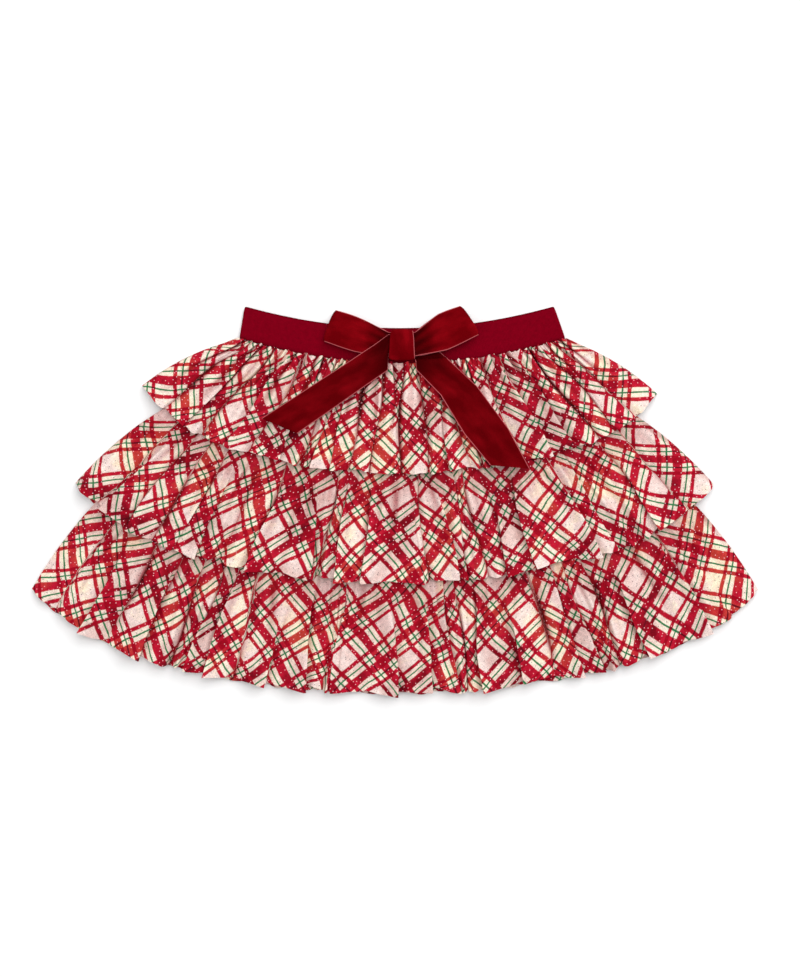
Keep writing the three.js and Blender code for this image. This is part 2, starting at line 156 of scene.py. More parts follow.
def thin_shell(name, middle, wall, uv, closed=False, shade=None):
    """A closed shell round a grid of middle points in millimetres: each point moved out and in by
    half the wall along its normal, the two faces joined along the open edges. uv and shade are kept
    on both."""
    rows, columns = middle.shape[:2]
    out = ways_out(middle, closed) * (np.broadcast_to(wall, (rows, columns))[..., None] / 2)
    points = np.concatenate([(middle + out).reshape(-1, 3), (middle - out).reshape(-1, 3)])
    far = rows * columns
    index = np.arange(far).reshape(rows, columns)
    if closed:
        index = np.concatenate([index, index[:, :1]], axis=1)
    corners = [index[:-1, :-1], index[1:, :-1], index[1:, 1:], index[:-1, 1:]]
    face = np.stack(corners, axis=-1).reshape(-1, 4)
    if closed:
        rims = [index[0], index[-1][::-1]]
    else:
        rims = [np.concatenate([index[0], index[1:, -1], index[-1, -2::-1], index[-2::-1, 0]])]
    sides = []
    for rim in rims:
        sides.append(np.stack([rim[:-1], rim[1:], rim[1:] + far, rim[:-1] + far], axis=-1))
    faces = np.concatenate([face, face[:, ::-1] + far, *sides])
    mesh = bpy.data.meshes.new(name)
    mesh.from_pydata(((points + HOME) * MM).tolist(), [], faces.tolist())
    mesh.polygons.foreach_set("use_smooth", np.ones(len(faces), dtype=bool))
    flat_uv = np.concatenate([uv.reshape(-1, 2)] * 2)
    layer = mesh.uv_layers.new(name="cut")
    layer.data.foreach_set("uv", flat_uv[faces.reshape(-1)].astype(np.float32).reshape(-1))
    if shade is not None:
        depth = mesh.attributes.new(name="shade", type="FLOAT", domain="POINT")
        depth.data.foreach_set("value", np.tile(shade.reshape(-1), 2).astype(np.float32))
    mesh.set_sharp_from_angle(angle=math.radians(SHARP_FROM))
    mesh.validate()
    piece = bpy.data.objects.new(name, mesh)
    bpy.context.scene.collection.objects.link(piece)
    return piece


def new_finish(name):
    """A material with an empty Principled shader, and a function that adds a node to it: sockets given
    by name or number are linked, other values are set on them."""
    material = bpy.data.materials.new(name)
    material.use_nodes = True
    tree = material.node_tree

    def add(kind, sockets=None, **settings):
        node = tree.nodes.new(kind)
        for key, value in settings.items():
            setattr(node, key, value)
        for key, value in (sockets or {}).items():
            if isinstance(value, bpy.types.NodeSocket):
                tree.links.new(value, node.inputs[key])
            else:
                node.inputs[key].default_value = value
        return node

    return material, tree.nodes["Principled BSDF"], tree, add


def maths(add, operation, *values):
    """The output of a node that works out one operation on one to three values."""
    return add("ShaderNodeMath", dict(enumerate(values)), operation=operation).outputs[0]


def ranged(add, value, start, end, low=0.0, high=1.0):
    """The output of a node that runs in a straight line from low at start to high at end, and stays
    level beyond both."""
    return add("ShaderNodeMapRange", {0: value, 1: start, 2: end, 3: low, 4: high}).outputs[0]


def elastic_finish():
    """Fine ribs across the band, as bands of a sine along it, over a soft mottle. The edges, where the
    knit rolls, are a little darker, which is painted shade."""
    material, shader, tree, add = new_finish("waistband_elastic")
    cut = add("ShaderNodeUVMap", uv_map="cut").outputs[0]
    part = add("ShaderNodeSeparateXYZ", {0: cut})
    rib = maths(add, "SINE", maths(add, "MULTIPLY", part.outputs[0], 2 * math.pi / BAND["rib_every"]))
    mottle = add("ShaderNodeTexNoise", {"Vector": cut, "Scale": 0.35, "Detail": 5.0, "Roughness": 0.65})
    tint = ranged(add, mottle.outputs[0], 0.25, 0.75, 0.82, 1.15)
    reach = maths(add, "ABSOLUTE", maths(add, "SUBTRACT", part.outputs[1], BAND["width"] / 2))
    # Painted shade: the colour darkens towards the rolled edges of the band.
    dark = ranged(add, reach, *BAND["edge"], 1.0, 0.62)
    ribbed = maths(add, "MULTIPLY_ADD", rib, 0.025, 1.0)
    tone = maths(add, "MULTIPLY", maths(add, "MULTIPLY", tint, dark), ribbed)
    even = linear(BAND["colour"])[:3]
    colour = add("ShaderNodeVectorMath", {0: even, "Scale": tone}, operation="SCALE")
    tree.links.new(colour.outputs[0], shader.inputs["Base Color"])
    grain = add("ShaderNodeTexNoise", {"Vector": cut, "Scale": 2.2, "Detail": 3.0})
    height = maths(add, "ADD", grain.outputs[0], rib)
    bump = add("ShaderNodeBump", {"Strength": 0.35, "Distance": 0.0002, "Height": height})
    tree.links.new(bump.outputs[0], shader.inputs["Normal"])
    shader.inputs["Roughness"].default_value = 0.75
    shader.inputs["Specular IOR Level"].default_value = 0.01
    shader.inputs["Sheen Weight"].default_value = 0.005
    shader.inputs["Sheen Tint"].default_value = linear(BAND["sheen"])
    return material


def waistband():
    """A stadium of two flat walls and two half-round folds, carried across the band's width: the
    way round gives across and the wall's place in its loop, and the width mixes the two edges. The
    front wall ripples by a product of two sines, and the walls thin towards the rolled edges."""
    radius = (BAND["high_z"] - BAND["low_z"]) / 2
    fold = BAND["fold_steps"]
    straight = np.linspace(-1.0, 1.0, BAND["steps"])
    turn = np.linspace(-90.0, 90.0, fold + 2)[1:-1]
    across = np.concatenate([straight, np.ones(fold), straight[::-1], -np.ones(fold)])
    flat = np.full(BAND["steps"], 90.0)
    angle = np.radians(np.concatenate([-flat, turn, flat, turn + 180]))
    width = np.linspace(0.0, 1.0, BAND["rows"])
    rolled = 1.0 - 0.5 * np.abs(2 * width - 1) ** 8
    inset = radius + BAND["wall"] / 2
    top = on_line({**BAND["top"], "half": BAND["top"]["half"] - inset}, across)
    bottom = on_line({**BAND["bottom"], "half": BAND["bottom"]["half"] - inset}, across)
    x = mix(top[0], bottom[0], width[:, None]) + radius * np.cos(angle)
    y = mix(top[1], bottom[1], width[:, None])
    front = (np.sin(angle) > 0.5) * BAND["ripple"]
    ripple = front * np.sin(across * 23.0 + width[:, None] * 2.0) * np.sin(across * 7.0)
    z = BAND["low_z"] + radius + radius * np.sin(angle) + ripple
    middle = np.stack([x, y, np.broadcast_to(z, x.shape)], axis=-1)[::-1]
    centre = BAND["rows"] // 2
    length = np.cumsum(np.r_[0.0, np.hypot(np.diff(x[centre]), np.diff(y[centre]))])
    uv = np.stack(np.broadcast_arrays(length[None, :], BAND["width"] * width[:, None]), axis=-1)
    wall = BAND["wall"] * rolled[:, None] * np.ones(len(across))
    return thin_shell("waistband_elastic_loop", middle, wall, uv, closed=True)


band = waistband()
band.data.materials.append(elastic_finish())
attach(band, "root")
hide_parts("waistband")


# Each tier is a strip of light glitter mesh, cut as a front and a back, gathered along its
# top and left with a cut hem. The first is sewn into the waistband, and each of the others
# under the hem above.

# Sizes are in millimetres. repeat is the check's, across the stripes, and soft half the blur of
# their edges, as a share of half the repeat. Dots and holes of the mesh come every so often, and
# dot is a dot's size. Each wobble is a noise's scale and how far it pulls the print. patches is
# the scale of the noise that says where the cloth lies single or is lined by a fold below it, and
# apart is how far the print moves on from one panel to the next.
CLOTH = {
    "wall": 0.35, "alpha": 0.94, "repeat": 37.2, "soft": 0.012, "apart": 137.0,
    "dot_every": 3.6, "dot": 0.34, "mesh_every": 0.85,
    "wobble": ((0.017, 11.0), (0.06, 1.8), (1.0, 0.42)),
    "patches": 0.024, "single": (0.52, 0.63), "lined": (0.5, 0.38),
    "red": (186, 18, 46), "deep_red": (120, 0, 20), "warm_red": (192, 62, 52),
    "cream": (241, 219, 212), "lined_cream": (225, 190, 182), "warm_cream": (253, 235, 205),
    "strip": (242, 225, 208), "crossing": (158, 0, 28),
    "green": (34, 116, 68), "green_on_red": (96, 2, 22),
    "bright_dot": (250, 190, 196), "grey_dot": (84, 70, 76),
    # The last two colours are painted shade: the tint that folds are darkened towards, and the darkest, at
    # the bottom of a valley.
    "fold_shade": (176, 104, 112), "crease": (100, 22, 30),
}
# From the middle of a wide stripe to the middle of a large square, as shares of half the repeat:
# where each band begins, and its red, green and cream strip as 0 or 1.
STRIPES = (
    (0.0, (1, 0, 0)), (0.17, (0, 0, 1)), (0.314, (0, 1, 1)), (0.371, (0, 0, 1)), (0.515, (1, 0, 0)),
    (0.66, (0, 0, 0)),
)
# In a tier, seam and hem are the lines of its upper and lower edge, bulge is how far the side edges
# push out, closes the share of the half width from which front and back close on each other,
# length the strip's width as cut, slide where the print begins on it, and covered how much painted
# shadow the hem above casts on its top.
TIERS = {
    "tier_1": {
        "seam": {"mid": 5.0, "half": 111.6, "low": 92.3, "high": 109.2, "tilt": 0.0, "flare": 0.0},
        "hem": {"mid": 3.6, "half": 174.8, "low": 18.0, "high": 75.0, "tilt": 2.9, "flare": 0.34},
        "bulge": 4.0, "closes": 0.955, "length": 76.0, "slide": 3.0, "hem_shadow": 0.0,
    },
    "tier_2": {
        "seam": {"mid": 0.0, "half": 148.0, "low": 36.0, "high": 67.0, "tilt": 0.0, "flare": 0.1},
        "hem": {"mid": 0.0, "half": 216.5, "low": -56.0, "high": 11.3, "tilt": 0.4, "flare": 0.34},
        "bulge": 4.0, "closes": 0.958, "length": 92.0, "slide": 17.0, "hem_shadow": 0.24,
    },
    "tier_3": {
        "seam": {"mid": 0.0, "half": 189.0, "low": -38.0, "high": 12.0, "tilt": 0.0, "flare": 0.1},
        "hem": {"mid": 0.4, "half": 246.4, "low": -131.0, "high": -60.4, "tilt": 0.3, "flare": 0.34},
        "bulge": 3.5, "closes": 0.92, "length": 94.0, "slide": 8.0, "hem_shadow": 0.24,
    },
}
# In a table of folds, leans has a mark for each, by the side that it tips to, and swing and beat
# widen and narrow them in waves. The hem hangs lower at a crest than in a valley by scallop, is
# drawn up here and there by notch, and uneven by ragged. The folds swerve by swerve on their way
# down, and puckers is the height of small crinkles. fine and fine_at are the height and the place
# of the finest gathers, lap is how far these lie over the band, and pinched how much painted shade
# lies between gathers. down is the way from seam to hem, and the rows below it hold for each place:
# floor, the cloth's height in a valley; rise, a crest's height above that; tip, how far it leans
# over; gathers, the height of the gathers; and side, the height at the sides. columns for each fold
# and rows are the grid of the shell.
EACH_FRONT = {"columns": 22, "rows": 60, "swerve": 1.6, "puckers": 0.9}
FRONTS = {
    "tier_1": {
        **EACH_FRONT, "leans": ">>><<>><<<>>><<><<>>><<<", "swing": 0.035, "beat": 3.3,
        "scallop": 1.4, "notch": 1.6, "ragged": 2.1,
        "fine": 1.5, "fine_at": 0.03, "lap": 1.4, "pinched": 1.0,
        "down": (0.0, 0.12, 0.36, 0.7, 0.86, 1.0), "floor": (3.1, 3.8, 5.4, 7.75, 7.75, 7.75),
        "rise": (0.5, 1.6, 4.2, 5.6, 6.6, 7.4), "tip": (0.0, 1.5, 5.0, 7.0, 8.0, 9.0),
        "gathers": (1.9, 2.0, 1.0, 0.3, 0.1, 0.0), "side": (2.3, 2.3, 2.3, 2.3, 2.3, 2.3),
    },
    "tier_2": {
        **EACH_FRONT, "leans": "<<<>>><<>><<<>>>><<<>>><<>", "swing": 0.03, "beat": 4.1,
        "scallop": 3.5, "notch": 3.0, "ragged": 0.5,
        "fine": 0.8, "fine_at": 0.42, "lap": 0.0, "pinched": 0.45,
        "down": (0.0, 0.28, 0.36, 0.52, 0.78, 1.0), "floor": (5.75, 5.75, 6.0, 6.6, 7.75, 7.75),
        "rise": (0.0, 0.2, 1.6, 4.6, 6.2, 7.6), "tip": (0.0, 0.5, 1.8, 4.8, 8.0, 9.5),
        "gathers": (0.3, 0.4, 1.2, 0.8, 0.3, 0.0), "side": (5.1, 5.1, 4.4, 3.0, 2.4, 2.3),
    },
    "tier_3": {
        **EACH_FRONT, "leans": "<<<>><<<>>><<>>>><<<>>><<>>>", "swing": 0.032, "beat": 5.3,
        "scallop": 4.0, "notch": 3.0, "ragged": 0.5,
        "fine": 0.8, "fine_at": 0.42, "lap": 0.0, "pinched": 0.45,
        "down": (0.0, 0.28, 0.36, 0.5, 0.76, 1.0), "floor": (5.75, 5.75, 5.7, 5.6, 5.0, 4.6),
        "rise": (0.0, 0.2, 1.6, 4.6, 7.0, 8.8), "tip": (0.0, 0.5, 1.8, 4.8, 8.5, 10.0),
        "gathers": (0.3, 0.4, 1.2, 0.8, 0.3, 0.0), "side": (5.1, 5.1, 4.4, 3.0, 2.4, 2.3),
    },
}
# The backs lie flat on the surface, in low waves that stand upright.
EACH_BACK = {
    "columns": 14, "rows": 34, "swerve": 0.0, "puckers": 0.15, "swing": 0.03,
    "scallop": 2.0, "notch": 0.0, "ragged": 0.5, "fine": 0.0, "fine_at": 0.0, "lap": 0.0, "pinched": 0.45,
    "tip": (0.0, 0.0, 0.0, 0.0), "gathers": (0.0, 0.0, 0.0, 0.0),
}
BACKS = {
    "tier_1": {
        **EACH_BACK, "folds": 16, "beat": 2.7,
        "down": (0.0, 0.2, 0.6, 1.0), "floor": (0.6, 0.6, 0.6, 0.6),
        "rise": (0.8, 1.4, 1.8, 1.8), "side": (1.9, 1.9, 1.9, 1.9),
    },
    "tier_2": {
        **EACH_BACK, "folds": 18, "beat": 3.7,
        "down": (0.0, 0.28, 0.5, 1.0), "floor": (3.9, 3.9, 0.6, 0.6),
        "rise": (0.2, 0.2, 1.8, 1.8), "side": (4.7, 4.7, 2.6, 1.9),
    },
    "tier_3": {
        **EACH_BACK, "folds": 20, "beat": 4.3,
        "down": (0.0, 0.28, 0.5, 1.0), "floor": (3.9, 3.9, 0.6, 0.6),
        "rise": (0.2, 0.2, 2.2, 2.6), "side": (4.7, 4.7, 2.6, 1.9),
    },
}
# Where the crest lies in a fold that leans, and in one whose neighbour leans towards it, how much
# the latter tips, and the lowest and the narrowest fold as shares of a full one.
FOLD = {
    "leaning_crest": 0.66, "facing_crest": 0.6, "facing_tip": 0.1, "lowest": 0.45, "narrowest": 0.5,
}
# From this share of the half width on the folds get lower, down to this share of their height.
CALM = {"from": 0.8, "least": 0.35}
# The share of the way down over which the finest gathers fade, the same for their lap over the
# band, and how much that lap rises.
GATHER = {"fades": 0.45, "lap_fades": 0.14, "lap_rises": 0.9}
# The share of the valleys that are sharp, how much of the print each of them hides along the strip,
# how far the print slips across it, and how dark a soft valley is beside a sharp one.
TUCK = {"sharp": 0.6, "along": (4.0, 14.0), "across": (-4.0, 4.0), "soft": 0.3}


def tier_plan(tier, across, down):
    """Mixes the seam and hem lines by down, and pushes the side folds out at right angles to the
    straight line between the corners, by bulge times 4 down (1 - down) across to the eighth."""
    seam = on_line(tier["seam"], across)
    hem = on_line(tier["hem"], across)
    side = np.sign(across)
    seam_corner = on_line(tier["seam"], side)
    hem_corner = on_line(tier["hem"], side)
    span = np.hypot(hem_corner[0] - seam_corner[0], hem_corner[1] - seam_corner[1])
    reach = tier["bulge"] * 4 * down * (1 - down) * across**8 * side / span
    x = mix(seam[0], hem[0], down) - reach * (hem_corner[1] - seam_corner[1])
    y = mix(seam[1], hem[1], down) + reach * (hem_corner[0] - seam_corner[0])
    return x, y


def crinkle(seed, turn, down=0.0):
    """Small uneven puckers: the mean of slanting sine waves with seeded lengths and places."""
    rng = np.random.default_rng(seed)
    total = np.zeros(np.broadcast(turn, down).shape)
    waves = 9
    for _ in range(waves):
        turns, drops, place = rng.uniform(2.0, 9.0), rng.uniform(-14.0, 14.0), rng.uniform(0, 2 * math.pi)
        total += np.sin(turns * turn + drops * down + place) * rng.uniform(0.4, 1.0)
    return total / waves


def fold_marks(leans):
    """For each fold the place of its crest, as a share of its width, and how much it tips, which is
    below zero to the left. A fold whose neighbour leans towards it stays nearly upright."""
    lean = np.array([1.0 if mark == ">" else -1.0 for mark in leans])
    meets = (lean[:-1] > 0) & (lean[1:] < 0)
    facing = np.r_[meets, False] | np.r_[False, meets]
    far = np.where(facing, FOLD["facing_crest"], FOLD["leaning_crest"])
    return np.where(lean > 0, far, 1 - far), lean * np.where(facing, FOLD["facing_tip"], 1.0)


def print_place(middle, turn, places, columns, is_sharp, seed, tier, down):
    """Where each point lies on the printed strip, and the strip's length. From one sharp valley to
    the next the print runs straight down the first crest, and beside it a point is as far along the
    strip as the way round to it on its own row. What the rows lack is hidden in the sharp valleys,
    which each swallow a seeded length more and slip a little. The strip is as long as the mean of
    every sixth row of the lower half."""
    steps = np.linalg.norm(np.diff(middle, axis=1), axis=2)
    from_start = np.pad(np.cumsum(steps, axis=1), ((0, 0), (1, 0)))
    arc = from_start[len(down) // 2 :: 6].mean(axis=0)
    count = len(places)
    rng = np.random.default_rng(seed + 100)
    first = np.maximum.accumulate(np.where(is_sharp, np.arange(count), 0))
    fold = np.minimum(turn[0].astype(int), count - 1)
    peak = np.rint((first + places[first]) * columns).astype(int)[fold]
    swallowed = np.cumsum(rng.uniform(*TUCK["along"], count) * is_sharp)[fold]
    slipped = rng.uniform(*TUCK["across"], count)[first][fold]
    u = arc[peak] + swallowed + from_start - from_start[:, peak] + CLOTH["apart"] * seed
    v = down * tier["length"] + tier["slide"] + slipped
    return np.stack(np.broadcast_arrays(u, v), axis=-1), arc[-1]


def ruffle(tier, folds, seed):
    """A gathered strip, uneven in the folds' width and height. A fold of a front rises slowly to a
    crest near the side that it leans to, as a mean of a straight line and half a cosine wave, and
    falls fast beyond it. It tips sideways with its rise, and so lies over the next fold, and on its
    way down it swerves in a slow sine. A fold of a back is the upper half of a cosine wave. Gathers
    at twice the folds' number, and the finest at three times it, fade downwards."""
    is_front = "leans" in folds
    if is_front:
        places, tips = fold_marks(folds["leans"])
    else:
        places, tips = np.full(folds["folds"], 0.5), np.zeros(folds["folds"])
    count = len(places)
    turn = np.linspace(0.0, count, count * folds["columns"] + 1)[None, :]
    down = np.linspace(0.0, 1.0, folds["rows"])[:, None]
    even = 2 * turn / count - 1
    beat = math.pi * folds["beat"]
    across = even + folds["swing"] * np.sin(beat * even) * (1 - even**2)
    roomy = np.maximum(FOLD["narrowest"], 1 + folds["swing"] * beat * np.cos(beat * even))
    fold = np.minimum(np.floor(turn).astype(int), count - 1)
    way = turn - fold
    crest, tipping = places[fold], tips[fold]
    if is_front:
        share = np.where(way < crest, way / crest, (1 - way) / (1 - crest))
        lift = 0.5 * share + 0.5 * (0.5 - 0.5 * np.cos(math.pi * share))
    else:
        lift = np.maximum(0.0, -np.cos(2 * math.pi * way))
    uneven = 0.5 + 0.5 * np.sin(2.1 * folds["beat"] * turn + 1.7 * np.sin(0.9 * turn))
    height = np.minimum(1.0, mix(FOLD["lowest"], 1.0, uneven) * np.sqrt(roomy))
    calm = mix(1.0, CALM["least"], ease(CALM["from"], 1.0, np.abs(across)))
    shut = np.clip((np.abs(across) - tier["closes"]) / (1 - tier["closes"]), 0.0, 1.0)
    is_open = np.sqrt(1 - shut**2)
    floor, rise, tip, gathers, side = (
        np.interp(down, folds["down"], folds[key]) for key in ("floor", "rise", "tip", "gathers", "side")
    )
    size = height * calm * is_open
    gathered = gathers * (0.5 - 0.5 * np.cos(4 * math.pi * way)) * is_open
    gather = 0.5 + 0.5 * np.sin(6 * math.pi * turn + 2.4 * np.sin(1.7 * turn) + 1.5 * down)
    faded = 1 - ease(0.0, GATHER["fades"], np.abs(down - folds["fine_at"]))
    fine = folds["fine"] * faded * is_open * gather
    lapped = (1 - ease(0.0, GATHER["lap_fades"], down)) * (folds["lap"] > 0)

    # In plan: along the tier the folds tip and swerve, and down it the hem and the lap are uneven.
    x, y = tier_plan(tier, across, down)
    ahead = tier_plan(tier, across + 0.01, down)
    behind = tier_plan(tier, across - 0.01, down)
    along = np.stack([ahead[0] - behind[0], ahead[1] - behind[1]])
    along = along / np.linalg.norm(along, axis=0)
    swerve = np.sin(5.0 * down + 2.2 * turn + seed) * np.minimum(1.0, 3.0 * down) * is_open
    sideways = tipping * (tip * lift * size + 0.9 * fine) + folds["swerve"] * swerve
    x = x + along[0] * sideways
    y = y + along[1] * sideways
    drawn_up = folds["notch"] * np.maximum(0.0, np.sin(1.37 * turn)) ** 4
    ragged = folds["ragged"] * crinkle(seed + 50, 1.9 * turn) * down**8
    y = y + (drawn_up - folds["scallop"] * (lift - 0.5) * height) * down**4 * is_open + ragged
    y = y + lapped * folds["lap"] * (0.45 + gather * uneven)

    puckers = crinkle(seed, turn, down) * is_open * folds["puckers"]
    z = mix(side, floor, is_open) + rise * lift * size + gathered + fine + GATHER["lap_rises"] * lapped
    z = z + puckers * ease(0.2, 0.5, down) * 0.8
    middle = np.stack([x, y, z], axis=-1)
    is_sharp = np.random.default_rng(seed + 200).uniform(size=count) < TUCK["sharp"]
    uv, strip_length = print_place(middle, turn, places, folds["columns"], is_sharp, seed, tier, down)

    # The shade is 1 in the open. It falls off steeply into each valley and softly between gathers,
    # both in broken spots, and it is lower all along the top, under the hem above.
    valley = np.append(np.where(is_sharp, 1.0, TUCK["soft"]), 1.0)[np.rint(turn).astype(int)]
    deep = np.exp(-np.minimum(way, 1 - way) / 0.06) * np.clip(rise * size / 4.0, 0.0, 1.0) * valley
    hollow = 0.6 * (0.5 + 0.5 * np.cos(4 * math.pi * way)) ** 2 + 0.4 * (1 - gather) ** 2
    pinched = folds["pinched"] * hollow * np.clip(gathers / 0.9, 0.0, 1.0)
    # Painted shadow of the hem above, along the top of the tier.
    hem_shadow = tier["hem_shadow"] * (1 - ease(0.24, 0.5, down))
    broken = np.clip(0.62 + 1.5 * crinkle(seed + 20, 1.3 * turn, 0.6 * down), 0.15, 1.15)
    shade = 1 - np.clip((1.1 * deep + pinched) * broken + hem_shadow, 0.0, 1.0)
    return middle, uv, strip_length, shade


def layered(add, below, above, share):
    """The colour above mixed over the colour below by share. Each colour is a node's output or three
    numbers from 0 to 255."""
    ready = [c if isinstance(c, bpy.types.NodeSocket) else linear(c) for c in (below, above)]
    return add("ShaderNodeMix", {0: share, 6: ready[0], 7: ready[1]}, data_type="RGBA").outputs[2]


def check_finish():
    """The printed check: across each slant the distance to the middle of the nearest wide stripe is
    a zigzag of the place in the repeat, and a ramp of that distance gives the stripes. Both slants
    are laid over each other, with a wobble from long waves down to a ragged edge. Patches of a
    noise are deeper where a fold lines the cloth and warmer where it lies single. The mesh and a
    mottle speckle it, a ramp of the shade darkens its valleys, and glitter dots lie on a loose grid."""
    material, shader, tree, add = new_finish("ruffle_cloth")
    cut = add("ShaderNodeUVMap", uv_map="cut").outputs[0]
    drawn = cut
    for scale, spread in CLOTH["wobble"]:
        noise = add("ShaderNodeTexNoise", {"Vector": cut, "Scale": scale, "Detail": 1.0})
        centred = {0: noise.outputs["Color"], 1: (0.5, 0.5, 0.5)}
        pulled = add("ShaderNodeVectorMath", centred, operation="SUBTRACT")
        moved = add("ShaderNodeVectorMath", {0: pulled.outputs[0], "Scale": spread}, operation="SCALE")
        drawn = add("ShaderNodeVectorMath", {0: drawn, 1: moved.outputs[0]}, operation="ADD").outputs[0]
    slants = []
    for sign in (1.0, -1.0):
        way = (1 / math.sqrt(2), sign / math.sqrt(2), 0.0)
        place = add("ShaderNodeVectorMath", {0: drawn, 1: way}, operation="DOT_PRODUCT")
        zigzag = maths(add, "PINGPONG", place.outputs["Value"], CLOTH["repeat"] / 2)
        ramp = add("ShaderNodeValToRGB", {0: maths(add, "DIVIDE", zigzag, CLOTH["repeat"] / 2)})
        ramp.color_ramp.elements[0].color = (*STRIPES[0][1], 1)
        ramp.color_ramp.elements[1].position = 1.0
        ramp.color_ramp.elements[1].color = (*STRIPES[-1][1], 1)
        for (_, before), (at, after) in zip(STRIPES[:-1], STRIPES[1:]):
            ramp.color_ramp.elements.new(at - CLOTH["soft"]).color = (*before, 1)
            ramp.color_ramp.elements.new(at + CLOTH["soft"]).color = (*after, 1)
        slants.append(add("ShaderNodeSeparateColor", {0: ramp.outputs[0]}).outputs)
    one, two = slants
    red, green, strip = (maths(add, "MAXIMUM", one[n], two[n]) for n in range(3))
    crossing = maths(add, "MULTIPLY", one[0], two[0])

    patch_look = {"Vector": cut, "Scale": CLOTH["patches"], "Detail": 6.0, "Roughness": 0.66}
    patch = add("ShaderNodeTexNoise", patch_look).outputs[0]
    single = ranged(add, patch, *CLOTH["single"])
    lined = ranged(add, patch, *CLOTH["lined"])
    plain = layered(add, CLOTH["cream"], CLOTH["strip"], strip)
    plain = layered(add, plain, CLOTH["lined_cream"], lined)
    plain = layered(add, plain, CLOTH["warm_cream"], single)
    stripes = layered(add, CLOTH["red"], CLOTH["deep_red"], lined)
    stripes = layered(add, stripes, CLOTH["warm_red"], single)
    colour = layered(add, plain, stripes, red)
    colour = layered(add, colour, CLOTH["crossing"], crossing)
    lines = layered(add, CLOTH["green"], CLOTH["green_on_red"], red)
    colour = layered(add, colour, lines, green)

    cell_look = {"Vector": cut, "Scale": 1 / CLOTH["mesh_every"], "Randomness": 0.55}
    cells = add("ShaderNodeTexVoronoi", cell_look, voronoi_dimensions="2D").outputs["Distance"]
    hole = ranged(add, cells, 0.1, 0.65, 0.74, 1.1)
    mottle = add("ShaderNodeTexNoise", {"Vector": cut, "Scale": 0.35, "Detail": 5.0, "Roughness": 0.8})
    tone = ranged(add, mottle.outputs[0], 0.3, 0.7, 0.8, 1.28)
    speckle = maths(add, "MULTIPLY", tone, hole)
    # Painted shade: the shade attribute darkens the cloth through a ramp, towards a pinkish tint in its
    # folds and gathers and a deep crimson at the bottom of a valley.
    depth = add("ShaderNodeAttribute", attribute_name="shade")
    fold_shade = add("ShaderNodeValToRGB", {0: depth.outputs["Fac"]})
    fold_shade.color_ramp.elements[0].color = linear(CLOTH["crease"])
    fold_shade.color_ramp.elements[1].color = (1.0, 1.0, 1.0, 1.0)
    fold_shade.color_ramp.elements.new(0.35).color = linear(CLOTH["fold_shade"])
    dimmed = add("ShaderNodeVectorMath", {0: colour, "Scale": speckle}, operation="SCALE")
    sockets = {0: dimmed.outputs[0], 1: fold_shade.outputs[0]}
    shaded = add("ShaderNodeVectorMath", sockets, operation="MULTIPLY").outputs[0]

    dot_look = {"Vector": cut, "Scale": 1 / CLOTH["dot_every"], "Randomness": 0.75}
    dots = add("ShaderNodeTexVoronoi", dot_look, voronoi_dimensions="2D")
    dot_size = CLOTH["dot"] / CLOTH["dot_every"]
    spot = ranged(add, dots.outputs["Distance"], 1.3 * dot_size, 0.5 * dot_size)
    lit = add("ShaderNodeSeparateColor", {0: dots.outputs["Color"]})
    sparse = ranged(add, lit.outputs[0], 0.35, 0.6)
    present = maths(add, "MAXIMUM", sparse, red)
    dot = maths(add, "MULTIPLY", spot, present)
    speck = layered(add, CLOTH["grey_dot"], CLOTH["bright_dot"], red)
    tree.links.new(layered(add, shaded, speck, dot), shader.inputs["Base Color"])

    relief = maths(add, "MULTIPLY_ADD", cells, 0.35, mottle.outputs[0])
    bump = add("ShaderNodeBump", {"Strength": 0.55, "Distance": 0.0007, "Height": relief})
    tree.links.new(bump.outputs[0], shader.inputs["Normal"])
    tree.links.new(ranged(add, dot, 0.0, 1.0, 0.72, 0.25), shader.inputs["Roughness"])
    shader.inputs["Alpha"].default_value = CLOTH["alpha"]
    shader.inputs["Specular IOR Level"].default_value = 0.08
    return material


cloth_finish = check_finish()
for number, (name, tier) in enumerate(TIERS.items()):
    panels = (("back", BACKS[name], "laid"), ("front", FRONTS[name], "gathered"))
    for panel, (side, folds, held) in enumerate(panels):
        middle, uv, strip_length, shade = ruffle(tier, folds, seed=2 * number + panel)
        piece = thin_shell(f"{name}_{side}_cloth", middle, CLOTH["wall"], uv, shade=shade)
        piece.data.materials.append(cloth_finish)
        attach(piece, "root")
        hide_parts(f"{name}_{side}")


# The bow is tied from 24 mm velvet ribbon with fine satin edges: two loops whose low and high
# layers meet in the neck, a knot wrapped round them, and two tails that lie on the first tier.

# Sizes are in millimetres. corner pulls in a loop's corners and bowed bows its edges, edge is where
# the satin line begins and is full, from the middle, and tail_shade is how much painted shade darkens
# the tails, as their pile runs down and away and catches less light. A grid is the points along
# and across a ribbon.
RIBBON = {
    # The satin line is a real satin edge, painted paler than the velvet partly as a highlight.
    "wall": 1.0, "width": 24.0, "corner": 0.03, "bowed": 1.3, "edge": (11.45, 11.7), "tail_shade": 0.74,
    "loop_grid": (60, 26), "knot_grid": (96, 22), "tail_grid": (90, 22),
    # bright is painted sheen: the paler red of the brushed patches of the pile.
    "velvet": (98, 0, 6), "bright": (132, 5, 15), "satin": (176, 84, 88), "sheen": (240, 40, 50),
}
